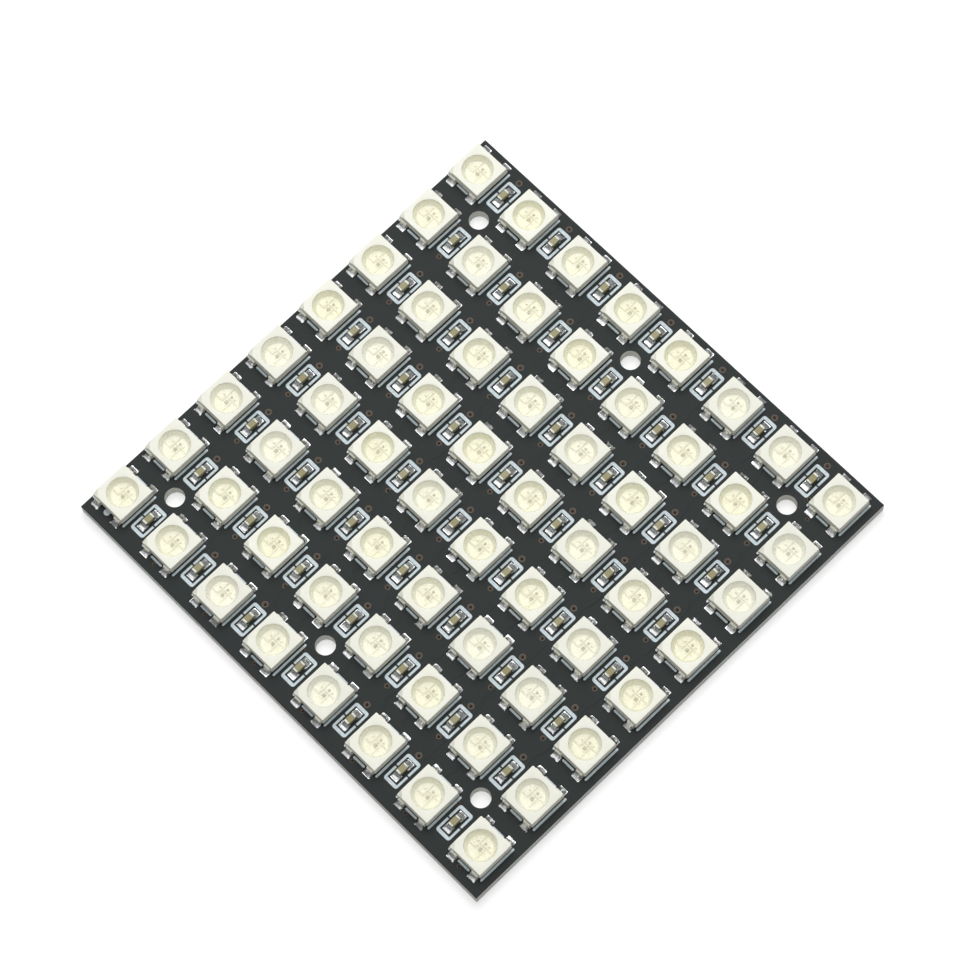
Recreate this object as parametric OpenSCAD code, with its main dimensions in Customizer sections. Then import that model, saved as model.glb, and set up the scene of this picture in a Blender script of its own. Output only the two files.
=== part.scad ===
// Bare square panel of colour light packages on a black printed circuit board.
// The origin is the middle of the board's back face, with +Z up through the lights.

/* [Board] */
// Length of each side of the square board
board_side = 65; // [65:0.5:70]
// Thickness of the bare laminate
laminate_t = 1.53; // [0.8:0.01:2.4]
// Thickness of the solder mask and of the copper lands, which lie flush with it
film_t = 0.035; // [0.02:0.005:0.06]
// Diameter of the six mounting holes
mount_hole_d = 2.4; // [1.6:0.1:2.6]
// Gap between the solder mask's edge and what it is opened for
mask_gap = 0.05; // [0.02:0.01:0.08]

/* [Array] */
// Distance between lights along X
pitch_x = 8.38; // [8.2:0.02:8.38]
// Distance between lights along Y
pitch_y = 8.14; // [8.1:0.01:8.16]
// How far the array lies from the board's middle along X
array_x = -0.5; // [-0.5:0.05:0.5]
// How far the array lies from the board's middle along Y
array_y = 0.3; // [-0.4:0.05:0.4]
// Largest error in a light's place, along each axis
place_error = 0.05; // [0:0.01:0.06]

/* [Light package] */
// Widest outline of the moulded housing, at its parting line
housing_w = 5; // [4.9:0.02:5.1]
// Top face of the housing along X
housing_top_x = 4.76; // [4.6:0.02:4.9]
// Top face of the housing along Y
housing_top_y = 4.88; // [4.6:0.02:4.9]
// Outline of the housing at its underside
housing_base_w = 4.64; // [4.4:0.02:4.9]
// Height of the package above its lands
housing_h = 1.57; // [1.4:0.01:1.8]
// Height of the parting line above the package's seat
parting_z = 0.72; // [0.6:0.02:0.8]
// Gap between the housing's underside and its seat
standoff = 0.06; // [0.03:0.01:0.1]
// Depth of the reflector cup
cup_depth = 0.85; // [0.7:0.01:0.95]
// Diameter of the cup at its floor
cup_floor_d = 2.9; // [2.6:0.05:3.1]
// Diameter of the cup at its rim
cup_rim_d = 3.8; // [3.4:0.05:4]
// Length of the marked corner's bevel along each side
corner_leg = 0.8; // [0.5:0.05:0.9]
// Depth of the marked corner's bevel
corner_depth = 0.45; // [0.2:0.05:0.6]
// How far the clear filling's surface lies below the rim
filling_dip = 0.04; // [0.02:0.01:0.12]

/* [Lead frame] */
// Thickness of the lead frame
lead_t = 0.15; // [0.1:0.01:0.16]
// Width of each lead
lead_w = 0.9; // [0.8:0.02:1]
// Distance from the package's middle to each lead, along X
lead_x = 1.65; // [1.6:0.01:1.7]
// How far each lead stands out past the housing, which is also its bend's outer radius
lead_reach = 0.2; // [0.18:0.01:0.24]
// Length of each lead's foot, from its outer face
foot_len = 0.8; // [0.6:0.05:1]
// Width of the slots between the plates
slot_w = 0.2; // [0.12:0.01:0.24]
// Distance that the plates reach into the housing around the cup's floor
plate_grip = 0.3; // [0.15:0.05:0.4]

/* [Chips] */
// Side of the control chip
control_w = 0.36; // [0.3:0.02:0.44]
// Side of each light chip
emitter_w = 0.24; // [0.16:0.02:0.28]
// Height of the chips
chip_h = 0.12; // [0.08:0.01:0.2]

/* [Capacitors] */
// Length of a capacitor
cap_len = 1.45; // [1.4:0.05:1.6]
// Width and height of a capacitor
cap_w = 0.76; // [0.7:0.02:0.86]
// Length of each metal end
cap_end = 0.33; // [0.2:0.01:0.4]
// Thickness of the metal of the ends
cap_metal = 0.02; // [0.01:0.005:0.03]
// How far the capacitors and their lands lie off their frames' middle along X
cap_off_x = -0.04; // [-0.06:0.01:0.06]
// How far the capacitors and their lands lie off their frames' middle along Y
cap_off_y = 0.05; // [0:0.01:0.08]

/* [Lands and solder] */
// Width of a light's copper land
light_land_w = 1.06; // [1.04:0.01:1.2]
// Length of a light's copper land
light_land_len = 1.5; // [1.4:0.02:1.6]
// How far a light's copper lands reach out past its leads
light_land_past = 0.58; // [0.5:0.01:0.64]
// Width of a capacitor's copper land
cap_land_w = 0.96; // [0.92:0.02:1.1]
// Length of a capacitor's copper land
cap_land_len = 0.95; // [0.8:0.05:1.05]
// How far a capacitor's copper lands reach out past its ends
cap_land_past = 0.68; // [0.55:0.01:0.7]
// Height of the solder against a lead
light_solder_h = 0.42; // [0.25:0.01:0.5]
// Height of the solder against a capacitor's end
cap_solder_h = 0.45; // [0.3:0.01:0.6]

/* [Vias] */
// Diameter of the hole through a via
via_hole_d = 0.36; // [0.2:0.02:0.38]
// Diameter of the plated barrel
via_barrel_d = 0.44; // [0.4:0.01:0.46]
// Diameter of a feed via's ring
feed_ring_d = 0.8; // [0.6:0.02:0.84]
// Diameter of a return via's ring
return_ring_d = 0.64; // [0.56:0.02:0.7]
// Distance from a capacitor's middle to its feed via
feed_y = 2.58; // [2.5:0.01:2.6]
// Distance from a capacitor's middle to its return via
return_y = 2.44; // [2.4:0.01:2.5]

/* [Printed marks] */
// Thickness of the printed ink
ink_t = 0.02; // [0.01:0.005:0.03]
// Width of the printed lines
ink_w = 0.28; // [0.2:0.01:0.3]
// Length of the long line on each side of a light
long_line = 5.2; // [4.8:0.05:5.3]
// Half the distance between a light's two long lines
long_line_x = 2.53; // [2.48:0.01:2.56]
// How far the two long lines lie off the light's middle along X
long_line_off = 0.06; // [0:0.01:0.06]
// Length of the short line between a light's lands
short_line = 1.8; // [1.5:0.05:1.9]
// Distance from the package's middle to a short line
short_line_y = 2.67; // [2.6:0.01:2.8]
// Outer width of the frame round a capacitor
frame_w = 2.08; // [2:0.02:2.1]
// Outer length of the frame round a capacitor
frame_len = 4; // [3.9:0.02:4.04]
// Width of the frame's end bars
frame_bar = 0.42; // [0.3:0.02:0.44]
// Gap between the frame's two halves
frame_gap = 0.2; // [0.1:0.02:0.3]
// Diameter of the dot that marks the first light
dot_d = 0.8; // [0.6:0.05:0.9]

/* [Wire lands on the back] */
// Width of a wire land along the board's edge
wire_land_w = 1.8; // [1.4:0.1:2]
// Length of a wire land away from the edge
wire_land_len = 2.6; // [2:0.1:3.2]
// Distance between wire lands
wire_pitch = 2.54; // [2.4:0.02:2.7]
// Distance from the board's edge to a wire land
wire_edge = 0.6; // [0.4:0.1:0.8]

/* [Hidden] */
$fn = 48;
// Lights along each side, and capacitors between them
LIGHTS = 8;
CAPS = LIGHTS - 1;
// Pitches from the array's middle to the mounting holes
HOLE_STEP = 3;
// The wire lands lie behind this column of capacitors at the low edge of the back, and behind this
// column of lights at its high edge
WIRE_COLS = [2, 5];
front_film_z = film_t + laminate_t;
board_t = front_film_z + film_t;
// The next values are heights above the package's seat
cup_floor_z = housing_h - cup_depth;
plate_z = cup_floor_z - lead_t;
lead_out = housing_w / 2 + lead_reach;
plate_r = cup_floor_d / 2 + plate_grip;
light_land_end = lead_out + light_land_past;
cap_land_end = cap_len / 2 + cap_land_past;
foot_gap = 0.03;
half_slot = slot_w / 2;
// Slots between the four plates, from the package's middle
slot_left_x = -0.365;
slot_right_x = 0.6;
slot_top_y = 0.275;
slot_low_y = -0.44;
plate_corner_r = 0.25;
// Where each plate begins, along Y towards its own lead, counted clockwise from the top left
plate_starts = [slot_low_y + half_slot, slot_top_y + half_slot,
                half_slot - slot_top_y, half_slot - slot_low_y];
far = 2 * housing_w;
// Chips, from the package's middle
control_at = [0.14, -0.2];
emitters_at = [[0.125, 0.675], [0.62, 0.7], [-0.8, 0.4]];
// Places in the array
light_xs = [for (i = [0 : LIGHTS - 1]) array_x + (i - CAPS / 2) * pitch_x];
row_ys = [for (j = [0 : LIGHTS - 1]) array_y + (j - CAPS / 2) * pitch_y];
cap_xs = [for (i = [0 : CAPS - 1]) array_x + (i + 0.5 - CAPS / 2) * pitch_x];
cap_off = [cap_off_x, cap_off_y];
hole_xs = [for (k = [-1 : 1]) array_x + k * HOLE_STEP * pitch_x];
hole_ys = [for (k = [-1, 1]) array_y + k * HOLE_STEP * pitch_y];
// Columns of capacitors in line with the holes, and rows of lights just below a hole
hole_cols = [for (k = [-1 : 1]) (CAPS - 1) / 2 + k * HOLE_STEP];
hole_rows = [for (k = [-1, 1]) LIGHTS / 2 - 1 + k * HOLE_STEP];
// Feed via that passes beside a mounting hole, from its capacitor's middle
bypass_at = [-1.3, 1.87];
// Small vias in line below the first row of lights, along X from all but its first light
low_via_y = 3.09;
low_via_offs = [0.05, 0.17, 0.02, -0.41, -0.67, -0.5, -0.33];
// Small vias beside the last light, from its middle
last_via_offs = [[-1.33, -3.69], [-2.88, -1.79]];
small_ring_d = 0.48;
// Printed frame's corner, and the shape of the solder
frame_r = 0.33;
solder_hollow = 0.16;
solder_lean = 2 / 3;
place_step = 0.01;

ROWS = [for (j = [1 : LIGHTS]) j];

// A repeatable error in the place of the light or capacitor at column i, row j
function error_at(i, j, kind) =
    round(place_error * sin(1234 * (i + 1) + 2345 * (j + 1) * (kind + 1) + 777 * i * j) / place_step)
    * place_step;

// Vias: a feed via above each capacitor and a return via below it, where no mounting hole is in the way
function below_hole(i, j) = len(search(i, hole_cols)) > 0 && len(search(j, hole_rows)) > 0;
function has_return(i, j) = j > 0 && j < LIGHTS - 1 && !below_hole(i, j - 1);
feeds = [for (i = [0 : CAPS - 1], j = [0 : LIGHTS - 1]) if (!below_hole(i, j))
    [cap_xs[i], row_ys[j] + feed_y]];
bypasses = [for (i = [0 : CAPS - 1], j = [0 : LIGHTS - 1]) if (below_hole(i, j))
    [cap_xs[i], row_ys[j]] + bypass_at];
returns = [for (i = [0 : CAPS - 1], j = [0 : LIGHTS - 1]) if (has_return(i, j))
    [cap_xs[i], row_ys[j] - return_y]];
small_vias = concat(bypasses,
    [for (i = [1 : LIGHTS - 1]) [light_xs[i] + low_via_offs[i - 1], row_ys[0] - low_via_y]],
    [for (p = last_via_offs) [light_xs[LIGHTS - 1], row_ys[LIGHTS - 1]] + p]);
wire_xs = [cap_xs[WIRE_COLS[0]], light_xs[WIRE_COLS[1]]];
wire_lands = [for (end = [0, 1], k = [-1 : 1])
    [wire_xs[end] + k * wire_pitch,
     (2 * end - 1) * (board_side / 2 - wire_edge - wire_land_len / 2)]];

module slab(z, t) {
    translate([0, 0, z]) linear_extrude(t) children();
}

module board_outline() {
    square(board_side, center = true);
}

module at_points(points) {
    for (p = points) translate(p) children();
}

module mounting_holes() {
    for (x = hole_xs, y = hole_ys) translate([x, y]) circle(d = mount_hole_d);
}

// Copper lands under the four leads of a light, grown by some margin
module light_lands(grow = 0) {
    for (sx = [-1, 1], sy = [-1, 1])
        translate([sx * lead_x, sy * (light_land_end - light_land_len / 2)])
            square([light_land_w + 2 * grow, light_land_len + 2 * grow], center = true);
}

module cap_lands(grow = 0) {
    for (sy = [-1, 1])
        translate([0, sy * (cap_land_end - cap_land_len / 2)])
            square([cap_land_w + 2 * grow, cap_land_len + 2 * grow], center = true);
}

module front_lands(grow = 0) {
    for (x = light_xs, y = row_ys) translate([x, y]) light_lands(grow);
    for (x = cap_xs, y = row_ys) translate([x, y] + cap_off) cap_lands(grow);
}

module back_lands(grow = 0) {
    at_points(wire_lands)
        square([wire_land_w + 2 * grow, wire_land_len + 2 * grow], center = true);
}

module via_rings(grow = 0) {
    at_points(feeds) circle(d = feed_ring_d + 2 * grow);
    at_points(small_vias) circle(d = small_ring_d + 2 * grow);
    at_points(returns) circle(d = return_ring_d + 2 * grow);
}

module circuit_board() {
    color([0.78, 0.79, 0.74]) slab(film_t, laminate_t) difference() {
        board_outline();
        mounting_holes();
        at_points(concat(feeds, small_vias, returns)) circle(d = via_barrel_d);
    }
}

module solder_mask_front() {
    color([0.2, 0.22, 0.23]) slab(front_film_z, film_t) difference() {
        board_outline();
        mounting_holes();
        front_lands(mask_gap);
        via_rings(mask_gap);
    }
}

module solder_mask_back() {
    color([0.2, 0.22, 0.23]) slab(0, film_t) difference() {
        board_outline();
        mounting_holes();
        back_lands(mask_gap);
        via_rings(mask_gap);
    }
}

module copper_lands_front() {
    color([0.85, 0.86, 0.86]) slab(front_film_z, film_t) front_lands();
}

module wire_lands_back() {
    color([0.85, 0.86, 0.86]) slab(0, film_t) back_lands();
}

module via_barrel(ring_d) {
    difference() {
        union() {
            slab(0, board_t) circle(d = via_barrel_d);
            slab(0, film_t) circle(d = ring_d);
            slab(front_film_z, film_t) circle(d = ring_d);
        }
        slab(-film_t, board_t + 2 * film_t) circle(d = via_hole_d);
    }
}

module via_barrels() {
    color([0.45, 0.34, 0.28]) {
        at_points(feeds) via_barrel(feed_ring_d);
        at_points(small_vias) via_barrel(small_ring_d);
        at_points(returns) via_barrel(return_ring_d);
    }
}

// A printed line with round ends, centred, along Y
module ink_line(length) {
    run = length - ink_w;
    square([ink_w, run], center = true);
    for (s = [-1, 1]) translate([0, s * run / 2]) circle(d = ink_w);
}

module rounded_rect(size, r) {
    square([size[0] - 2 * r, size[1]], center = true);
    square([size[0], size[1] - 2 * r], center = true);
    for (sx = [-1, 1], sy = [-1, 1])
        translate([sx * (size[0] / 2 - r), sy * (size[1] / 2 - r)]) circle(r);
}

module light_marks(first) {
    for (s = [-1, 1]) translate([long_line_off + s * long_line_x, 0]) ink_line(long_line);
    translate([0, short_line_y]) rotate(90) ink_line(short_line);
    if (first) translate([0, -short_line_y]) circle(d = dot_d);
    else translate([0, -short_line_y]) rotate(90) ink_line(short_line);
}

module cap_frame() {
    difference() {
        rounded_rect([frame_w, frame_len], frame_r);
        square([frame_w - 2 * ink_w, frame_len - 2 * frame_bar], center = true);
        square([frame_w + ink_w, frame_gap], center = true);
    }
}

module printed_marks() {
    color([0.8, 0.85, 0.87]) slab(board_t, ink_t) {
        for (i = [0 : LIGHTS - 1], j = [0 : LIGHTS - 1])
            translate([light_xs[i], row_ys[j]]) light_marks(i == 0 && j == 0);
        for (x = cap_xs, y = row_ys) translate([x, y]) cap_frame();
    }
}

// Solder seen from the side: a hollow slope from the lead or end down to the land
module solder_profile(run, height) {
    chord = norm([run, height]);
    hollow = solder_hollow * chord;
    r = (pow(chord / 2, 2) + pow(hollow, 2)) / (2 * hollow);
    centre = [run, height] / 2 + (r - hollow) * [height, run] / chord;
    difference() {
        polygon([[0, 0], [run, 0], [0, height]]);
        translate(centre) circle(r);
    }
}

// Solder running out from a face over its land, with its sides leaning in towards the top
module solder_joint(width, face, run, height) {
    half = width / 2;
    half_top = half * solder_lean;
    translate([0, face, 0]) intersection() {
        translate([-half, 0, 0]) rotate([90, 0, 90]) linear_extrude(width) solder_profile(run, height);
        translate([0, run, 0]) rotate([90, 0, 0]) linear_extrude(run)
            polygon([[-half, 0], [half, 0], [half_top, height], [-half_top, height]]);
    }
}

// Puts a light's piece at column i of row j, as placed on the board
module placed_light(i, j) {
    translate([light_xs[i] + error_at(i, j, 1), row_ys[j] + error_at(i, j, 2), board_t]) children();
}

module placed_cap(i, j) {
    at = [cap_xs[i] + error_at(i, j, 3), row_ys[j] + error_at(i, j, 4)] + cap_off;
    translate([at[0], at[1], board_t]) children();
}

module light_solder() {
    color([0.86, 0.87, 0.87])
        for (i = [0 : LIGHTS - 1], j = [0 : LIGHTS - 1])
            placed_light(i, j) for (sx = [-1, 1], turn = [0, 180])
                rotate(turn) translate([sx * lead_x, 0, 0])
                    solder_joint(light_land_w - 2 * place_error, lead_out,
                                 light_land_past - place_error, light_solder_h);
}

module capacitor_solder() {
    color([0.86, 0.87, 0.87])
        for (i = [0 : CAPS - 1], j = [0 : LIGHTS - 1])
            placed_cap(i, j) for (turn = [0, 180])
                rotate(turn)
                    solder_joint(cap_land_w - 2 * place_error, cap_len / 2,
                                 cap_land_past - place_error, cap_solder_h);
}

// Housing seen along Y, across the sides that have no leads
module housing_front() {
    polygon([[-housing_base_w / 2, standoff], [housing_base_w / 2, standoff],
             [housing_w / 2, parting_z], [housing_top_x / 2, housing_h],
             [-housing_top_x / 2, housing_h], [-housing_w / 2, parting_z]]);
}

// Housing seen along X, stepped up at both ends over the leads' feet
module housing_side() {
    step_z = lead_t + foot_gap;
    step_y = lead_out - foot_len - foot_gap;
    low = (housing_w - housing_base_w) / 2 * (parting_z - step_z) / (parting_z - standoff);
    step_out = housing_w / 2 - low;
    polygon([[-step_y, standoff], [step_y, standoff], [step_y, step_z], [step_out, step_z],
             [housing_w / 2, parting_z], [housing_top_y / 2, housing_h],
             [-housing_top_y / 2, housing_h], [-housing_w / 2, parting_z],
             [-step_out, step_z], [-step_y, step_z]]);
}

module housing_block() {
    intersection() {
        translate([0, housing_w, 0]) rotate([90, 0, 0]) linear_extrude(2 * housing_w) housing_front();
        translate([-housing_w, 0, 0]) rotate([90, 0, 90]) linear_extrude(2 * housing_w) housing_side();
    }
}

// Sloping cut at the corner that marks the first lead
module corner_cut() {
    leg = corner_leg / sqrt(2);
    out = 1;
    translate([-housing_top_x / 2, -housing_top_y / 2, housing_h]) rotate(45)
        translate([0, housing_w / 2, 0]) rotate([90, 0, 0]) linear_extrude(housing_w)
            polygon([[leg, 0], [leg, out], [-out, out], [-out, -corner_depth * (out + leg) / leg]]);
}

// The cup, up to some distance below its rim
module cup(short = 0) {
    rim_d = cup_rim_d - short * (cup_rim_d - cup_floor_d) / cup_depth;
    translate([0, 0, cup_floor_z]) cylinder(h = cup_depth - short, d1 = cup_floor_d, d2 = rim_d);
}

// Outlines of the four plates at the cup's floor, counted clockwise from the top left
module plate_outline(k) {
    if (k == 0) difference() {
        translate([-far, slot_low_y + half_slot]) square([far + slot_left_x - half_slot, far]);
        translate([slot_left_x - half_slot - plate_corner_r, slot_low_y + half_slot]) difference() {
            square(plate_corner_r);
            translate([0, plate_corner_r]) circle(plate_corner_r);
        }
    }
    if (k == 1) translate([slot_left_x + half_slot, slot_top_y + half_slot]) square(far);
    if (k == 2) translate([slot_right_x + half_slot, slot_top_y - half_slot - far]) square(far);
    if (k == 3) {
        arm_x = slot_left_x + half_slot;
        translate([-far, slot_low_y - half_slot - far]) square([far + slot_right_x - half_slot, far]);
        translate([arm_x, slot_top_y - half_slot - far]) square([slot_right_x - half_slot - arm_x, far]);
    }
}

// Side view of a lead: out of the housing, over one bend, down and in under the housing
module lead_profile(start) {
    bend_at = housing_w / 2;
    bend_z = cup_floor_z - lead_reach;
    translate([start, plate_z]) square([bend_at - start, lead_t]);
    translate([bend_at, bend_z]) intersection() {
        difference() {
            circle(lead_reach);
            circle(lead_reach - lead_t);
        }
        square(2 * lead_reach);
    }
    translate([lead_out - lead_t, 0]) square([lead_t, bend_z]);
    translate([lead_out - foot_len, 0]) square([foot_len, lead_t]);
}

// One plate with its lead; k counts the plates clockwise from the top left
module lead_frame(k) {
    sx = k == 0 || k == 3 ? -1 : 1;
    sy = k < 2 ? 1 : -1;
    slab(plate_z, lead_t) intersection() {
        circle(plate_r);
        plate_outline(k);
    }
    rotate(sy > 0 ? 0 : 180) translate([sx * sy * lead_x - lead_w / 2, 0, 0])
        rotate([90, 0, 90]) linear_extrude(lead_w) lead_profile(plate_starts[k]);
}

// Room in the housing for the plates and for the leads where they pass through its wall
module lead_frame_room() {
    slab(plate_z, lead_t) {
        circle(plate_r);
        for (sx = [-1, 1]) translate([sx * lead_x, 0]) square([lead_w, 2 * housing_w], center = true);
    }
}

module housing() {
    difference() {
        housing_block();
        cup();
        corner_cut();
        lead_frame_room();
    }
}

module chip(at, w) {
    translate([at[0], at[1], cup_floor_z + chip_h / 2]) cube([w, w, chip_h], center = true);
}

module chips() {
    chip(control_at, control_w);
    for (p = emitters_at) chip(p, emitter_w);
}

module filling() {
    difference() {
        cup(filling_dip);
        chips();
    }
}

// The ceramic block, lying along Y inside its metal ends
module cap_body() {
    size = [cap_w, cap_len, cap_w] - 2 * cap_metal * [1, 1, 1];
    translate([0, 0, cap_w / 2]) cube(size, center = true);
}

module cap_ends() {
    for (s = [-1, 1]) difference() {
        translate([0, s * (cap_len - cap_end) / 2, cap_w / 2]) cube([cap_w, cap_end, cap_w], center = true);
        cap_body();
    }
}

module housings_row(j) {
    color([0.95, 0.95, 0.91]) for (i = [0 : LIGHTS - 1]) placed_light(i, j) housing();
}

module lead_frames_row(j) {
    color([0.93, 0.92, 0.82])
        for (i = [0 : LIGHTS - 1]) placed_light(i, j) for (k = [0 : 3]) lead_frame(k);
}

module chips_row(j) {
    color([0.3, 0.29, 0.24]) for (i = [0 : LIGHTS - 1]) placed_light(i, j) chips();
}

module fillings_row(j) {
    color([0.97, 0.97, 0.86, 0.5]) for (i = [0 : LIGHTS - 1]) placed_light(i, j) filling();
}

module capacitor_bodies_row(j) {
    color([0.59, 0.54, 0.4]) for (i = [0 : CAPS - 1]) placed_cap(i, j) cap_body();
}

module capacitor_ends_row(j) {
    color([0.82, 0.81, 0.79]) for (i = [0 : CAPS - 1]) placed_cap(i, j) cap_ends();
}

circuit_board();
solder_mask_front();
solder_mask_back();
copper_lands_front();
wire_lands_back();
via_barrels();
printed_marks();
light_solder();
capacitor_solder();
for (j = ROWS) {
    housings_row(j - 1);
    lead_frames_row(j - 1);
    chips_row(j - 1);
    fillings_row(j - 1);
    capacitor_bodies_row(j - 1);
    capacitor_ends_row(j - 1);
}
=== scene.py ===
# Bare square panel of colour light packages on a black circuit board, dressed and lit for a studio picture.
import math
import random

import bmesh
import bpy
from mathutils import Matrix, Vector


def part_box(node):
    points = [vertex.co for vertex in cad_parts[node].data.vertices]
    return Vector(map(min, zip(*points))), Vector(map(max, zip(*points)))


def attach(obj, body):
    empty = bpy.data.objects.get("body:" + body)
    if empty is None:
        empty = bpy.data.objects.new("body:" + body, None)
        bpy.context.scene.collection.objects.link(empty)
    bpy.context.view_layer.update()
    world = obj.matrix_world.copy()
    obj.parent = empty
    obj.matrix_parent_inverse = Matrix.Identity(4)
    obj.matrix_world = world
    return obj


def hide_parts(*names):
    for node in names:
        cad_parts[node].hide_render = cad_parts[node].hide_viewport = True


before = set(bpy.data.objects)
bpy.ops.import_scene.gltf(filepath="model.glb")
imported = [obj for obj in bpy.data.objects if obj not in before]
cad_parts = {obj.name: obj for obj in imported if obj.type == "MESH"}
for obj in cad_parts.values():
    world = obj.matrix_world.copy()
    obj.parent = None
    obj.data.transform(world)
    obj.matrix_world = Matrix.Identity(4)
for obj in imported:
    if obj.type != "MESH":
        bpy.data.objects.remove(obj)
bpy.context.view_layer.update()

MM = 0.001
LIGHTS = 8
CAPS = LIGHTS - 1
# Sizes that repeat the panel's own, in millimetres
PITCH_X = 8.38
PITCH_Y = 8.14
ARRAY_X = -0.5
ARRAY_Y = 0.3
PLACE_ERROR = 0.05
FRONT_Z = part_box("solder_mask_front")[1].z / MM
HOUSING_H = 1.57
HOUSING_BASE_X = 2.32
HOUSING_BASE_Y = 2.45
HOUSING_WIDE = 2.5
PARTING_Z = 0.72
TOP_HALF_X = 2.38
TOP_HALF_Y = 2.44
CUP_RIM_R = 1.9
CUP_FLOOR_R = 1.45
CUP_FLOOR_Z = 0.72
CHIP_H = 0.12
LEAD_X = 1.65
LEAD_OUT = 2.7
CAP_HALF = 0.725
CAP_W = 0.76
CAP_OFF_X = -0.04
CAP_OFF_Y = 0.05
FEED_Y = 2.58
RETURN_Y = 2.44
ROWS = [f"row_{n}" for n in range(1, LIGHTS + 1)]
# Chips that look dark through the filling, from a package's middle
CONTROL_AT = (0.14, -0.2)
DARK_EMITTER_AT = (0.125, 0.675)

light_xs = [ARRAY_X + (i - CAPS / 2) * PITCH_X for i in range(LIGHTS)]
row_ys = [ARRAY_Y + (j - CAPS / 2) * PITCH_Y for j in range(LIGHTS)]
cap_xs = [ARRAY_X + (i + 0.5 - CAPS / 2) * PITCH_X for i in range(CAPS)]


class Wire:
    """A node's output. Sums written with it add Math nodes."""

    def __init__(self, finish, socket):
        self.finish = finish
        self.socket = socket

    def sum(self, operation, first, second):
        return self.finish.node("ShaderNodeMath", {"operation": operation}, {0: first, 1: second})

    def __add__(self, other):
        return self.sum("ADD", self, other)

    def __sub__(self, other):
        return self.sum("SUBTRACT", self, other)

    def __rsub__(self, other):
        return self.sum("SUBTRACT", other, self)

    def __mul__(self, other):
        return self.sum("MULTIPLY", self, other)

    def __truediv__(self, other):
        return self.sum("DIVIDE", self, other)

    def __pow__(self, other):
        return self.sum("POWER", self, other)

    __radd__ = __add__
    __rmul__ = __mul__


class Finish:
    """A material in the making, around one Principled shader."""

    def __init__(self, name, **fixed):
        self.material = bpy.data.materials.new(name)
        self.material.use_nodes = True
        self.tree = self.material.node_tree
        self.shader = self.tree.nodes["Principled BSDF"]
        for socket, value in fixed.items():
            self.feed(socket.replace("_", " "), value)

    def feed(self, socket, value):
        self.plug(self.shader.inputs[socket], value)

    def plug(self, socket, value):
        if isinstance(value, Wire):
            self.tree.links.new(value.socket, socket)
        else:
            socket.default_value = value

    def node(self, kind, settings, sockets, output=0):
        made = self.tree.nodes.new(kind)
        for name, value in settings.items():
            if name == "stops":
                ramp = made.color_ramp.elements
                while len(ramp) < len(value):
                    ramp.new(0.5)
                for stop, (place, colour) in zip(ramp, value):
                    stop.position = place
                    stop.color = colour
            else:
                setattr(made, name, value)
        for name, value in sockets.items():
            self.plug(made.inputs[name], value)
        return Wire(self, made.outputs[output])

    def place_mm(self):
        """Where a point lies in the panel's own frame, in millimetres."""
        place = self.node("ShaderNodeTexCoord", {}, {}, output=3)
        return self.node("ShaderNodeVectorMath", {"operation": "SCALE"}, {0: place, "Scale": 1 / MM})

    def axis(self, place, name):
        return self.node("ShaderNodeSeparateXYZ", {}, {0: place}, output="XYZ".index(name))

    def noise(self, place, per_mm, detail=2.0, rough=0.5):
        return self.node("ShaderNodeTexNoise", {},
                         {"Vector": place, "Scale": per_mm, "Detail": detail, "Roughness": rough})

    def span(self, value, low, high, to_low=0.0, to_high=1.0):
        """Value stretched from low..high to to_low..to_high, and held there."""
        return self.node("ShaderNodeMapRange", {"clamp": True},
                         {0: value, 1: low, 2: high, 3: to_low, 4: to_high})

    def mix(self, part, first, second, blend="MIX"):
        return self.node("ShaderNodeMix", {"data_type": "RGBA", "blend_type": blend},
                         {0: part, 6: first, 7: second}, output=2)

    def sum_of_masks(self, first, second):
        return self.node("ShaderNodeMath", {"operation": "MAXIMUM"}, {0: first, 1: second})

    def relief(self, height, depth_mm, strength=1.0):
        bump = self.node("ShaderNodeBump", {}, {"Strength": strength, "Distance": depth_mm * MM, "Height": height})
        self.feed("Normal", bump)

    def counted(self, place, shift_x=0.0):
        """Place counted in pitches from the array's corner."""
        corner = (ARRAY_X - LIGHTS / 2 * PITCH_X + shift_x, ARRAY_Y - LIGHTS / 2 * PITCH_Y, 0)
        moved = self.node("ShaderNodeVectorMath", {"operation": "SUBTRACT"}, {0: place, 1: corner})
        return self.node("ShaderNodeVectorMath", {"operation": "DIVIDE"}, {0: moved, 1: (PITCH_X, PITCH_Y, 1e6)})

    def own_number(self, place, shift_x=0.0):
        """A number from 0 to 1 that stays the same over one light package and differs on the next."""
        cell = self.node("ShaderNodeVectorMath", {"operation": "FLOOR"}, {0: self.counted(place, shift_x)})
        return self.node("ShaderNodeTexWhiteNoise", {"noise_dimensions": "3D"}, {"Vector": cell})

    def near_in_package(self, place, x, y, reach, shift_x=0.0):
        """1 close to a spot given from each package's middle, and 0 elsewhere."""
        part = self.node("ShaderNodeVectorMath", {"operation": "FRACTION"}, {0: self.counted(place, shift_x)})
        inside = self.node("ShaderNodeVectorMath", {"operation": "MULTIPLY"}, {0: part, 1: (PITCH_X, PITCH_Y, 0)})
        spot = (PITCH_X / 2 + x, PITCH_Y / 2 + y, 0)
        away = self.node("ShaderNodeVectorMath", {"operation": "DISTANCE"}, {0: inside, 1: spot}, output=1)
        return self.span(away, reach * 0.9, reach, 1.0, 0.0)


def colour(red, green, blue):
    """A colour as a picture holds it, from 0 to 255, in the shader's own measure."""
    def even(value):
        value = value / 255
        return value / 12.92 if value <= 0.04045 else ((value + 0.055) / 1.055) ** 2.4
    return (even(red), even(green), even(blue), 1.0)


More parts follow.
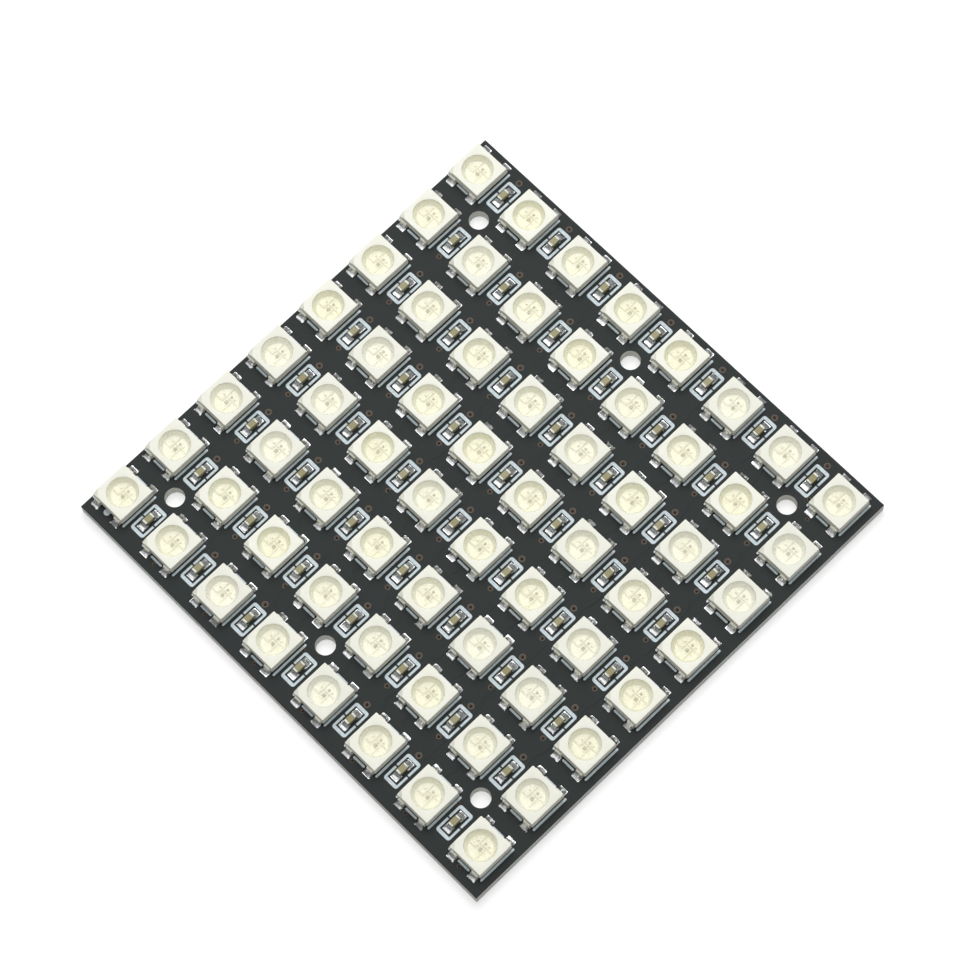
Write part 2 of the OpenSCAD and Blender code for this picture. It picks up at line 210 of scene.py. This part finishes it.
def solder_mask():
    look = Finish("black_solder_mask", Specular_IOR_Level=0.1)
    place = look.place_mm()
    cloudy = look.noise(place, 0.35, 3)
    grain = look.noise(place, 14, 3, 0.6)
    dust = look.span(look.noise(place, 5, 1), 0.68, 0.8)
    base = look.mix(cloudy, (0.021, 0.026, 0.0255, 1), (0.028, 0.033, 0.032, 1))
    look.feed("Base Color", look.mix(dust * 0.2, base, (0.045, 0.052, 0.052, 1)))
    look.feed("Roughness", look.span(grain + cloudy, 0.6, 1.4, 0.36, 0.5))
    look.relief(grain, 0.004, 0.6)
    return look.material


def laminate():
    """Pale where it is sawn and drilled. Its faces show only as a dark line where the mask stops short of copper."""
    look = Finish("sawn_laminate_edge", Roughness=0.75, Specular_IOR_Level=0.2)
    place = look.place_mm()
    flat = look.node("ShaderNodeVectorMath", {"operation": "MULTIPLY"}, {0: place, 1: (1, 1, 0.15)})
    fibres = look.noise(flat, 6, 4, 0.65)
    height = look.axis(place, "Z")
    layers = look.node("ShaderNodeMath", {"operation": "SINE"}, {0: height * (2 * math.pi / 0.19)})
    tone = look.span(layers * 0.25 + fibres, 0.2, 0.9)
    sawn = look.mix(tone, colour(214, 215, 208), colour(240, 241, 236))
    face = look.sum_of_masks(look.span(height, FRONT_Z - 0.06, FRONT_Z - 0.045),
                             look.span(height, 0.045, 0.06, 1.0, 0.0))
    look.feed("Base Color", look.mix(face, sawn, colour(66, 60, 52)))
    look.relief(fibres + layers * 0.3, 0.02, 0.7)
    return look.material


def bright_metal(name, dark, light, roughness, lumps, depth):
    look = Finish(name, Metallic=1.0)
    place = look.place_mm()
    flow = look.noise(place, lumps, 2)
    fine = look.noise(place, lumps * 9, 3, 0.6)
    look.feed("Base Color", look.mix(flow, dark, light))
    look.feed("Roughness", look.span(fine, 0.3, 0.7, roughness * 0.75, roughness * 1.3))
    look.relief(flow + fine * 0.15, depth, 0.8)
    return look.material


def via_ring():
    look = Finish("copper_under_thin_mask", Specular_IOR_Level=0.1)
    place = look.place_mm()
    mottle = look.noise(place, 7, 3, 0.6)
    feed_hollow = look.near_in_package(place, 0, FEED_Y, 0.3, PITCH_X / 2)
    return_hollow = look.near_in_package(place, 0, -RETURN_Y, 0.25, PITCH_X / 2)
    rim = look.mix(mottle, colour(84, 77, 70), colour(104, 95, 86))
    hollow = look.mix(mottle, colour(70, 63, 57), colour(88, 80, 72))
    face = look.mix(look.sum_of_masks(feed_hollow, return_hollow), rim, hollow)
    height = look.axis(place, "Z")
    bore = look.span(height, FRONT_Z - 0.12, FRONT_Z - 0.03, 1.0, 0.0) * look.span(height, 0.03, 0.12)
    look.feed("Base Color", look.mix(bore, face, colour(186, 172, 160)))
    look.feed("Metallic", look.span(mottle, 0.35, 0.65, 0.0, 0.08))
    look.feed("Roughness", look.span(mottle, 0.3, 0.7, 0.35, 0.5))
    look.relief(mottle, 0.006, 0.5)
    return look.material


def print_ink():
    look = Finish("white_print_ink", Specular_IOR_Level=0.35)
    place = look.place_mm()
    cover = look.noise(place, 3.5, 3, 0.6)
    speck = look.noise(place, 22, 2, 0.6)
    base = look.mix(look.span(cover, 0.35, 0.65), colour(188, 202, 208), colour(212, 223, 227))
    look.feed("Base Color", look.mix(look.span(speck, 0.66, 0.78) * 0.5, base, colour(120, 130, 134)))
    look.feed("Roughness", look.span(speck, 0.3, 0.7, 0.5, 0.7))
    look.relief(speck, 0.006, 0.6)
    return look.material


def moulded_resin():
    """White resin, whiter on some packages than on others, and finely pitted as it leaves the mould."""
    look = Finish("moulded_white_resin", Specular_IOR_Level=0.4, Subsurface_Weight=0.0)
    place = look.place_mm()
    own = look.own_number(place)
    pits = look.noise(place, 18, 3, 0.65)
    broad = look.noise(place, 0.9, 2)
    pale = look.mix(own, colour(238, 238, 226), colour(246, 246, 234))
    worn = look.mix(look.span(broad, 0.3, 0.7) * 0.35, pale, colour(234, 234, 220))
    cup = look.near_in_package(place, 0, 0, CUP_RIM_R + 0.1)
    floor = look.near_in_package(place, 0, 0, CUP_FLOOR_R)
    # Inside the cup the wall is painted brighter than the resin outside: painted light on the steep wall, which the
    # lamps light too little.
    painted_light_wall = look.mix(own, colour(255, 255, 246), colour(254, 254, 236))
    # Within the floor's reach, the resin seen in the slots between the plates and in the crease at the wall's foot is
    # painted darker: painted shade.
    inside = look.mix(floor, painted_light_wall, colour(232, 229, 208))
    look.feed("Base Color", look.mix(cup, worn, inside))
    look.feed("Roughness", look.span(pits, 0.3, 0.7, 0.42, 0.58))
    look.relief(pits, 0.006, 0.5)
    return look.material


def silver_plate():
    look = Finish("silver_plated_lead_frame")
    place = look.place_mm()
    flow = look.noise(place, 1.4, 2)
    fine = look.noise(place, 20, 3, 0.6)
    look.feed("Metallic", look.span(flow, 0.3, 0.7, 0.0, 0.15))
    look.feed("Base Color", look.mix(flow, colour(250, 249, 228), colour(253, 252, 238)))
    look.feed("Roughness", look.span(fine, 0.3, 0.7, 0.35, 0.5))
    look.relief(fine, 0.002, 0.3)
    return look.material


def chip_crystal():
    look = Finish("bare_chips", Specular_IOR_Level=0.6)
    place = look.place_mm()
    pads = look.noise(place, 12, 1)
    control = look.near_in_package(place, *CONTROL_AT, 0.32)
    dark_emitter = look.near_in_package(place, *DARK_EMITTER_AT, 0.25)
    pale = look.mix(pads, colour(236, 231, 208), colour(245, 242, 222))
    dark = look.mix(look.span(pads, 0.45, 0.6), colour(158, 155, 134), colour(206, 201, 176))
    either = look.sum_of_masks(control, dark_emitter)
    look.feed("Base Color", look.mix(either, pale, dark))
    look.feed("Roughness", look.span(pads, 0.4, 0.7, 0.18, 0.4))
    return look.material


def clear_silicone():
    """Clear filling with a little haze, yellower in some packages."""
    look = Finish("clear_silicone", Roughness=0.12, IOR=1.41)
    place = look.place_mm()
    own = look.own_number(place)
    haze = look.noise(place, 1.1, 2)
    look.feed("Base Color", look.mix(own, colour(248, 248, 232), colour(243, 241, 210)))
    look.feed("Alpha", look.span(haze, 0.3, 0.7, 0.16, 0.22))
    look.relief(haze, 0.01, 0.4)
    return look.material


def fired_ceramic():
    look = Finish("fired_tan_ceramic", Specular_IOR_Level=0.4)
    place = look.place_mm()
    own = look.own_number(place, PITCH_X / 2)
    grain = look.noise(place, 16, 4, 0.65)
    base = look.mix(own, colour(150, 143, 104), colour(166, 160, 126))
    look.feed("Base Color", look.mix(look.span(grain, 0.4, 0.7) * 0.5, base, colour(126, 118, 86)))
    look.feed("Roughness", look.span(grain, 0.3, 0.7, 0.45, 0.65))
    look.relief(grain, 0.006, 0.6)
    return look.material


def dress(material, *names):
    for name in names:
        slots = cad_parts[name].data.materials
        slots.clear()
        slots.append(material)


def dress_rows(material, kind):
    dress(material, *(f"{kind}_{row}" for row in ROWS))


solder_look = bright_metal("reflowed_solder", (0.78, 0.79, 0.8, 1), (0.96, 0.97, 0.98, 1), 0.26, 3.5, 0.02)
tinned_look = bright_metal("tinned_copper", (0.6, 0.61, 0.62, 1), (0.8, 0.81, 0.82, 1), 0.26, 2.5, 0.01)
mask_look = solder_mask()
dress(mask_look, "solder_mask_front", "solder_mask_back")
dress(laminate(), "circuit_board")
dress(tinned_look, "copper_lands_front", "wire_lands_back")
dress(via_ring(), "via_barrels")
dress(print_ink(), "printed_marks")
dress(solder_look, "light_solder", "capacitor_solder")
resin_look = moulded_resin()
dress_rows(resin_look, "housings")
dress_rows(silver_plate(), "lead_frames")
dress_rows(chip_crystal(), "chips")
silicone_look = clear_silicone()
dress_rows(silicone_look, "fillings")
dress_rows(fired_ceramic(), "capacitor_bodies")
end_look = bright_metal("matt_tin_ends", (0.33, 0.33, 0.285, 1), (0.45, 0.45, 0.4, 1), 0.45, 2.5, 0.01)
dress_rows(end_look, "capacitor_ends")


def error_at(column, row, kind):
    """The same small error in a light's or capacitor's place as the panel's own."""
    turn = math.radians(1234 * (column + 1) + 2345 * (row + 1) * (kind + 1) + 777 * column * row)
    return round(PLACE_ERROR * math.sin(turn), 2)


def light_at(column, row):
    return Vector((light_xs[column] + error_at(column, row, 1), row_ys[row] + error_at(column, row, 2), FRONT_Z))


def cap_at(column, row):
    return Vector((cap_xs[column] + error_at(column, row, 3) + CAP_OFF_X,
                   row_ys[row] + error_at(column, row, 4) + CAP_OFF_Y, FRONT_Z))


class Shape:
    """Points in millimetres, and the faces between them."""

    def __init__(self):
        self.points = []
        self.faces = []

    def add(self, points, faces):
        first = len(self.points)
        self.points += [Vector(point) for point in points]
        self.faces += [tuple(first + n for n in face) for face in faces]

    def add_copy(self, other, place):
        self.add([point + place for point in other.points], other.faces)

    def add_rings(self, rings, low_closed=True, high_closed=True):
        """A skin over rings that all hold the same number of points."""
        count = len(rings[0])
        faces = []
        for n in range(len(rings) - 1):
            for k in range(count):
                after = (k + 1) % count
                faces.append((n * count + k, n * count + after, (n + 1) * count + after, (n + 1) * count + k))
        if low_closed:
            faces.append(tuple(reversed(range(count))))
        if high_closed:
            faces.append(tuple(range((len(rings) - 1) * count, len(rings) * count)))
        self.add([point for ring in rings for point in ring], faces)

    def add_heap(self, grid, floor_z):
        """A closed heap whose top is a grid of points, standing on a level floor."""
        rows, across = len(grid), len(grid[0])
        top = [point for line in grid for point in line]
        low = [Vector((point[0], point[1], floor_z)) for point in top]
        down = len(top)
        faces = []
        for a in range(rows - 1):
            for b in range(across - 1):
                n = a * across + b
                square = (n, n + 1, n + across + 1, n + across)
                faces.append(square)
                faces.append(tuple(down + k for k in reversed(square)))
        edge = [b for b in range(across)] + [a * across + across - 1 for a in range(1, rows)]
        edge += [(rows - 1) * across + b for b in range(across - 2, -1, -1)]
        edge += [a * across for a in range(rows - 2, 0, -1)]
        for n, here in enumerate(edge):
            there = edge[(n + 1) % len(edge)]
            faces.append((there, here, here + down, there + down))
        self.add(top + low, faces)

    def piece(self, name, look, slot, *stands_for, sharp=math.radians(38)):
        """A piece of the panel made of this shape, smooth except over edges sharper than some angle."""
        work = bmesh.new()
        corners = [work.verts.new(point * MM) for point in self.points]
        for face in self.faces:
            work.faces.new([corners[n] for n in face]).smooth = True
        bmesh.ops.recalc_face_normals(work, faces=work.faces)
        for edge in work.edges:
            edge.smooth = edge.calc_face_angle(0.0) < sharp
        mesh = bpy.data.meshes.new(name)
        work.to_mesh(mesh)
        work.free()
        made = bpy.data.objects.new(name, mesh)
        bpy.context.scene.collection.objects.link(made)
        mesh.materials.append(look)
        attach(made, "root")
        if stands_for:
            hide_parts(*stands_for)
        return made


# Housings with the small radii that a mould leaves
ARC_POINTS = 5
SIDE_POINTS = 9
CORNER_R = 0.12
TOP_R = 0.06
RIM_R = 0.04
UNDER_Z = 0.18
STANDOFF = 0.06
STEP_Y = 1.87
CORNER_LEG = 0.8 / math.sqrt(2)
CORNER_DEPTH = 0.45


def squarish(half_x, half_y, z, radius=CORNER_R):
    """A ring of points round a rectangle with round corners."""
    ring = []
    for quarter in range(4):
        side_x = 1 if quarter in (0, 3) else -1
        side_y = 1 if quarter < 2 else -1
        for n in range(ARC_POINTS):
            turn = (quarter + n / (ARC_POINTS - 1)) * math.pi / 2
            ring.append(Vector((side_x * (half_x - radius) + radius * math.cos(turn),
                                side_y * (half_y - radius) + radius * math.sin(turn), z)))
        after_x = 1 if (quarter + 1) % 4 in (0, 3) else -1
        after_y = 1 if (quarter + 1) % 4 < 2 else -1
        turn = (quarter + 1) * math.pi / 2
        follow = Vector((after_x * (half_x - radius) + radius * math.cos(turn),
                         after_y * (half_y - radius) + radius * math.sin(turn), z))
        here = ring[-1]
        ring += [here.lerp(follow, (n + 1) / (SIDE_POINTS + 1)) for n in range(SIDE_POINTS)]
    return ring


def rounds_of(ring, radius, z):
    """A circle whose points lie in the same directions as a ring's."""
    return [Vector((radius * math.cos(math.atan2(point.y, point.x)),
                    radius * math.sin(math.atan2(point.y, point.x)), z)) for point in ring]


def housing_shape():
    def below(z, base):
        return base + (HOUSING_WIDE - base) * (z - STANDOFF) / (PARTING_Z - STANDOFF)

    def above(z, top_half):
        return HOUSING_WIDE + (top_half - HOUSING_WIDE) * (z - PARTING_Z) / (HOUSING_H - PARTING_Z)

    parting_r = 0.015
    shoulder = HOUSING_H - TOP_R
    flank = PARTING_Z - parting_r
    rings = [squarish(below(UNDER_Z, HOUSING_BASE_X), below(UNDER_Z, HOUSING_BASE_Y), UNDER_Z),
             squarish(below(flank, HOUSING_BASE_X), below(flank, HOUSING_BASE_Y), flank),
             squarish(HOUSING_WIDE, HOUSING_WIDE, PARTING_Z),
             squarish(above(PARTING_Z + parting_r, TOP_HALF_X), above(PARTING_Z + parting_r, TOP_HALF_Y),
                      PARTING_Z + parting_r)]
    for n in range(5):
        turn = n / 4 * math.pi / 2
        inset = TOP_R * (1 - math.cos(turn))
        z = shoulder + TOP_R * math.sin(turn)
        rings.append(squarish(above(shoulder, TOP_HALF_X) - inset, above(shoulder, TOP_HALF_Y) - inset, z,
                              CORNER_R))
    outer = rings[-1]
    for n in range(4):
        turn = n / 3 * math.pi / 2
        rings.append(rounds_of(outer, CUP_RIM_R + RIM_R * (1 - math.sin(turn)),
                               HOUSING_H - RIM_R * (1 - math.cos(turn))))
    foot_r = 0.06
    slope = (CUP_RIM_R - CUP_FLOOR_R) / (HOUSING_H - CUP_FLOOR_Z)
    rings.append(rounds_of(outer, CUP_FLOOR_R + foot_r * slope, CUP_FLOOR_Z + foot_r))
    rings.append(rounds_of(outer, CUP_FLOOR_R - foot_r * 0.3, CUP_FLOOR_Z + foot_r * 0.25))
    rings.append(rounds_of(outer, CUP_FLOOR_R - foot_r, CUP_FLOOR_Z - 0.01))
    whole = Shape()
    whole.add_rings(rings)
    cut = bmesh.new()
    corners = [cut.verts.new(point) for point in whole.points]
    for face in whole.faces:
        cut.faces.new([corners[n] for n in face])
    diagonal = Vector((1, 1, 0)).normalized()
    corner = Vector((-TOP_HALF_X, -TOP_HALF_Y, HOUSING_H))
    slant = (Vector((0, 0, CORNER_LEG)) - diagonal * CORNER_DEPTH).normalized()
    made = bmesh.ops.bisect_plane(cut, geom=cut.verts[:] + cut.edges[:] + cut.faces[:], clear_outer=True,
                                  plane_co=corner + diagonal * CORNER_LEG, plane_no=slant)
    rim = [part for part in made["geom_cut"] if isinstance(part, bmesh.types.BMEdge)]
    bmesh.ops.contextual_create(cut, geom=rim)
    cut.verts.index_update()
    result = Shape()
    result.add([point.co.copy() for point in cut.verts], [[point.index for point in face.verts] for face in cut.faces])
    cut.free()
    pad = [squarish(HOUSING_BASE_X, STEP_Y, STANDOFF, 0.05), squarish(HOUSING_BASE_X, STEP_Y, UNDER_Z + 0.1, 0.05)]
    result.add_rings(pad)
    return result


def add_housings():
    shape = housing_shape()
    for row in range(LIGHTS):
        line = Shape()
        for column in range(LIGHTS):
            line.add_copy(shape, light_at(column, row))
        line.piece(f"moulded_housings_row_{row + 1}", resin_look, "housing_resin", f"housings_row_{row + 1}")


# Clear fillings, which rise a little where they meet the cup's wall
FILLING_DIP = 0.04
SLIT = 0.004


def filling_shape():
    ring = squarish(1, 1, 0)
    slope = (CUP_RIM_R - CUP_FLOOR_R) / (HOUSING_H - CUP_FLOOR_Z)
    edge_z = HOUSING_H - FILLING_DIP
    edge_r = CUP_FLOOR_R + slope * (edge_z - CUP_FLOOR_Z) - SLIT
    rings = [rounds_of(ring, CUP_FLOOR_R - SLIT, CUP_FLOOR_Z + SLIT), rounds_of(ring, edge_r, edge_z)]
    for reach, drop in ((0.97, 0.012), (0.92, 0.02), (0.84, 0.026), (0.6, 0.03)):
        rings.append(rounds_of(ring, edge_r * reach, edge_z - drop))
    whole = Shape()
    whole.add_rings(rings)
    return whole


def add_fillings():
    shape = filling_shape()
    for row in range(LIGHTS):
        line = Shape()
        for column in range(LIGHTS):
            line.add_copy(shape, light_at(column, row))
        line.piece(f"silicone_fillings_row_{row + 1}", silicone_look, "clear_filling", f"fillings_row_{row + 1}")


# Capacitor ends with round edges
END_R = 0.07
END_LEN = 0.33


def round_block(size_x, size_y, size_z, radius):
    """A block with rounded edges, standing on z = 0."""
    work = bmesh.new()
    bmesh.ops.create_cube(work, size=1.0)
    bmesh.ops.scale(work, vec=(size_x, size_y, size_z), verts=work.verts)
    bmesh.ops.translate(work, vec=(0, 0, size_z / 2), verts=work.verts)
    bmesh.ops.bevel(work, geom=work.edges[:], offset=radius, segments=3, profile=0.5, affect="EDGES")
    work.verts.index_update()
    block = Shape()
    block.add([point.co.copy() for point in work.verts],
              [[point.index for point in face.verts] for face in work.faces])
    work.free()
    return block


def add_capacitor_ends():
    rng = random.Random(5)
    for row in range(LIGHTS):
        line = Shape()
        for column in range(CAPS):
            for side in (-1, 1):
                long = END_LEN + rng.uniform(-0.03, 0.03)
                block = round_block(CAP_W, long, CAP_W, END_R)
                line.add_copy(block, cap_at(column, row) + Vector((0, side * (CAP_HALF - long / 2), 0)))
        line.piece(f"plated_ends_row_{row + 1}", end_look, "capacitor_metal", f"capacitor_ends_row_{row + 1}")


# Solder that rose against each lead and each capacitor end, and ran out over its land
ACROSS = 10
OUTWARD = 9
FILM = 0.07


def solder_heap(shape, place, side, face, run, half, height, hollow, lean):
    """One joint. The solder climbs the face, hollows out and thins towards the end of its land."""
    grid = []
    for n in range(OUTWARD + 1):
        out = n / OUTWARD
        line = []
        narrow = half * (1 - 0.06 * out ** 4)
        for k in range(ACROSS + 1):
            across = 2 * k / ACROSS - 1
            bulge = 1 - abs(across) ** 3
            film = FILM * (1 - out ** 5) * (1 - across ** 6)
            climb = height * (1 - out) ** hollow * bulge * (1 + lean * across)
            pulled = run * (1 - 0.08 * across ** 6)
            line.append(place + Vector((across * narrow, side * (face + out * pulled), film + climb)))
        grid.append(line)
    shape.add_heap(grid, place.z)


def add_solder():
    rng = random.Random(11)
    for name, slot_node in (("light", "light_solder"), ("capacitor", "capacitor_solder")):
        shape = Shape()
        for row in range(LIGHTS):
            for column in range(LIGHTS if name == "light" else CAPS):
                if name == "light":
                    middle = light_at(column, row)
                    for side_x in (-1, 1):
                        for side_y in (-1, 1):
                            place = middle + Vector((side_x * LEAD_X, 0, 0))
                            low = side_y < 0
                            fall = rng.uniform(2.4, 4.0) if low and side_x < 0 else rng.uniform(1.5, 2.6)
                            solder_heap(shape, place, side_y, LEAD_OUT, 0.6 + rng.uniform(-0.04, 0.02),
                                        0.55 + rng.uniform(-0.01, 0.03), rng.uniform(0.3, 0.5), fall,
                                        rng.uniform(-0.45, 0.45))
                else:
                    for side_y in (-1, 1):
                        fall = rng.uniform(3.0, 5.0) if side_y < 0 else rng.uniform(1.3, 2.0)
                        solder_heap(shape, cap_at(column, row), side_y, CAP_HALF, 0.69 + rng.uniform(-0.03, 0.02),
                                    0.5 + rng.uniform(-0.01, 0.02), rng.uniform(0.38, 0.55), fall,
                                    rng.uniform(-0.25, 0.25))
        shape.piece(f"{name}_solder_beads", solder_look, "solder", slot_node, sharp=math.radians(60))


# Fine wires from the control chip to the light chips and to the four plates
WIRE_R = 0.0125
WIRE_SIDES = 5
WIRE_STEPS = 8
CHIP_TOPS = [(0.125, 0.675), (0.62, 0.7), (-0.8, 0.4)]
PLATE_PADS = [(-0.62, -0.12), (0.05, 0.42), (0.95, -0.35), (0.3, -0.72)]


def wire_loop(shape, start, end, rise):
    rings = []
    along = (end - start).normalized()
    level = Vector((0, 0, 1))
    aside = along.cross(level).normalized()
    for n in range(WIRE_STEPS + 1):
        part = n / WIRE_STEPS
        centre = start.lerp(end, part) + level * rise * (4 * part * (1 - part)) ** 0.7
        rings.append([centre + (aside * math.cos(turn) + level * math.sin(turn)) * WIRE_R
                      for turn in (k * 2 * math.pi / WIRE_SIDES for k in range(WIRE_SIDES))])
    shape.add_rings(rings)


def add_bond_wires():
    look = bright_metal("bond_wire_metal", (0.82, 0.74, 0.56, 1), (0.92, 0.86, 0.7, 1), 0.4, 4, 0.002)
    rng = random.Random(23)
    shape = Shape()
    for row in range(LIGHTS):
        for column in range(LIGHTS):
            seat = light_at(column, row) + Vector((0, 0, CUP_FLOOR_Z))
            pads = [(at, CHIP_H) for at in CHIP_TOPS] + [(at, 0.0) for at in PLATE_PADS]
            for (x, y), lift in pads:
                toward = (Vector((x, y, 0)) - Vector((*CONTROL_AT, 0))).normalized() * 0.12
                start = seat + Vector((CONTROL_AT[0] + toward.x, CONTROL_AT[1] + toward.y, CHIP_H))
                wire_loop(shape, start, seat + Vector((x, y, lift)), 0.13 + rng.uniform(-0.02, 0.03))
    shape.piece("bond_wires", look, "lead_frame_silver")


# Copper tracks that show faintly as ridges under the mask, in the gaps between rows
TRACK_HALF = 0.13
TRACK_EDGE = 0.05
TRACK_H = 0.016
GAP_TRACKS = [-8.2, -7.15, 1.05, 9.35, 17.05, 25.5]
UNDER_TRACKS = [-13.1, -4.2, 3.3, 12.5, 20.1]
# Mounting holes, and the gaps between rows that hold them
HOLE_XS = [ARRAY_X + PITCH_X * k for k in (-3, 0, 3)]
HOLE_GAPS = (0, LIGHTS - 2)
HOLE_CLEAR = 1.9


def add_track(shape, path):
    """A flat ridge along a path of points on the board's face."""
    rings = []
    for n, here in enumerate(path):
        before = path[max(n - 1, 0)]
        after = path[min(n + 1, len(path) - 1)]
        along = Vector((after[0] - before[0], after[1] - before[1])).normalized()
        aside = Vector((-along.y, along.x))
        rings.append([Vector((here[0] + aside.x * out, here[1] + aside.y * out, z))
                      for out, z in ((-TRACK_HALF - TRACK_EDGE, FRONT_Z), (TRACK_HALF + TRACK_EDGE, FRONT_Z),
                                     (TRACK_HALF, FRONT_Z + TRACK_H), (-TRACK_HALF, FRONT_Z + TRACK_H))])
    shape.add_rings(rings)


def add_tracks():
    shape = Shape()
    rng = random.Random(31)
    for row in range(LIGHTS - 1):
        low = row_ys[row]
        for x in GAP_TRACKS:
            jog = rng.choice((-0.35, 0.35, 0.0))
            turn = low + rng.uniform(3.4, 4.2)
            if row in HOLE_GAPS and min(abs(x - at) for at in HOLE_XS) < HOLE_CLEAR:
                continue
            add_track(shape, [(x, low + 2.15), (x, turn), (x + jog, turn + abs(jog)), (x + jog, low + 5.95)])
        for x in UNDER_TRACKS:
            jog = rng.choice((-0.3, 0.3))
            add_track(shape, [(x, low + 2.5), (x, low + 3.8), (x + jog, low + 3.8 + abs(jog)), (x + jog, low + 5.6)])
    for n in range(3):
        x = 27.2 + 0.75 * n
        for low, high in ((-23.6, -20.6), (-15.4, -12.4), (-7.3, -4.3), (0.9, 3.9)):
            add_track(shape, [(x, low + 0.3 * n), (x, high - 0.6), (x + 0.4, high - 0.2), (x + 0.4, high + 0.4)])
    shape.piece("tracks_under_mask", mask_look, "solder_mask", sharp=math.radians(60))


add_housings()
add_fillings()
add_tracks()
add_capacitor_ends()
add_solder()
add_bond_wires()


# Studio: white floor, soft lamps and the photograph's camera
CAMERA_AT = Vector((114.42, -90.82, 410.94)) * MM
CAMERA_LOOK = Vector((-0.26775, 0.21331, -0.93958))
CAMERA_UP = Vector((-0.66354, 0.66624, 0.34034))
SENSOR_MM = 36
FOCUS_PX = 3800.5
# The photograph's middle lies half a pixel to the right of and below the frame's
SHIFT_PX = 0.5
PICTURE_PX = 960
# Light from the horizon, and what is added to it overhead
HORIZON_LEVEL = 0.1
DOME_LEVEL = 1.06
DOME_POWER = 3
KEY_WATTS = 2.3
KEY_FROM = Vector((-0.42, 0.42, 1.0)).normalized()
KEY_FAR = 0.6
KEY_SIDE = 0.5
FLOOR_GLOW = 0.5


def wired(tree, kind, settings, sockets, output=0):
    """A node in a tree that has no finish, with its sockets set or linked."""
    made = tree.nodes.new(kind)
    for name, value in settings.items():
        setattr(made, name, value)
    for name, value in sockets.items():
        if isinstance(value, bpy.types.NodeSocket):
            tree.links.new(value, made.inputs[name])
        else:
            made.inputs[name].default_value = value
    return made.outputs[output]


def seen_plainly(tree):
    """1 for what the camera sees, also through clear things, and 0 for the light that falls on things."""
    rays = tree.nodes.new("ShaderNodeLightPath")
    return wired(tree, "ShaderNodeMath", {"operation": "MAXIMUM"},
                 {0: rays.outputs["Is Camera Ray"], 1: rays.outputs["Is Transmission Ray"]})


def white_world():
    """A soft dome, brightest overhead. The camera sees plain white behind everything."""
    world = bpy.data.worlds.new("white_studio")
    bpy.context.scene.world = world
    world.use_nodes = True
    tree = world.node_tree
    toward = wired(tree, "ShaderNodeTexCoord", {}, {}, "Generated")
    height = wired(tree, "ShaderNodeSeparateXYZ", {}, {0: toward}, "Z")
    above = wired(tree, "ShaderNodeMath", {"operation": "MAXIMUM"}, {0: height, 1: 0.0})
    gathered = wired(tree, "ShaderNodeMath", {"operation": "POWER"}, {0: above, 1: DOME_POWER})
    dome = wired(tree, "ShaderNodeMapRange", {"clamp": True},
                 {0: gathered, 1: 0.0, 2: 1.0, 3: HORIZON_LEVEL, 4: HORIZON_LEVEL + DOME_LEVEL})
    level = wired(tree, "ShaderNodeMix", {}, {0: seen_plainly(tree), 2: dome, 3: 1.0})
    background = tree.nodes["Background"]
    background.inputs["Color"].default_value = (1, 1, 1, 1)
    tree.links.new(level, background.inputs["Strength"])


def white_floor():
    half = 1.5
    mesh = bpy.data.meshes.new("floor")
    mesh.from_pydata([(-half, -half, 0), (half, -half, 0), (half, half, 0), (-half, half, 0)], [], [(0, 1, 2, 3)])
    floor = bpy.data.objects.new("floor", mesh)
    floor.location.z = -0.02 * MM
    bpy.context.scene.collection.objects.link(floor)
    look = Finish("white_floor", Base_Color=(0.6, 0.6, 0.6, 1), Roughness=0.9, Specular_IOR_Level=0.0)
    tree = look.tree
    glow = tree.nodes.new("ShaderNodeEmission")
    both = tree.nodes.new("ShaderNodeAddShader")
    glow_level = tree.nodes.new("ShaderNodeMath")
    glow_level.operation = "MULTIPLY"
    glow_level.inputs[1].default_value = FLOOR_GLOW
    tree.links.new(seen_plainly(tree), glow_level.inputs[0])
    tree.links.new(glow_level.outputs[0], glow.inputs["Strength"])
    tree.links.new(look.shader.outputs[0], both.inputs[0])
    tree.links.new(glow.outputs[0], both.inputs[1])
    tree.links.new(both.outputs[0], tree.nodes["Material Output"].inputs["Surface"])
    mesh.materials.append(look.material)


def key_lamp():
    data = bpy.data.lights.new("key_lamp", "AREA")
    data.shape = "SQUARE"
    data.size = KEY_SIDE
    data.energy = KEY_WATTS
    lamp = bpy.data.objects.new("key_lamp", data)
    lamp.location = KEY_FROM * KEY_FAR
    lamp.rotation_mode = "QUATERNION"
    lamp.rotation_quaternion = KEY_FROM.to_track_quat("Z", "Y")
    bpy.context.scene.collection.objects.link(lamp)


def photo_camera():
    data = bpy.data.cameras.new("camera")
    data.sensor_width = SENSOR_MM
    data.lens = FOCUS_PX * SENSOR_MM / PICTURE_PX
    data.shift_x = -SHIFT_PX / PICTURE_PX
    data.shift_y = SHIFT_PX / PICTURE_PX
    data.clip_start = 0.01
    data.clip_end = 10
    camera = bpy.data.objects.new("camera", data)
    back = -CAMERA_LOOK.normalized()
    right = CAMERA_UP.cross(back).normalized()
    up = back.cross(right)
    camera.matrix_world = Matrix.Translation(CAMERA_AT) @ Matrix((right, up, back)).transposed().to_4x4()
    bpy.context.scene.collection.objects.link(camera)
    bpy.context.scene.camera = camera


white_world()
white_floor()
key_lamp()
photo_camera()
bpy.context.scene.view_settings.view_transform = "Standard"
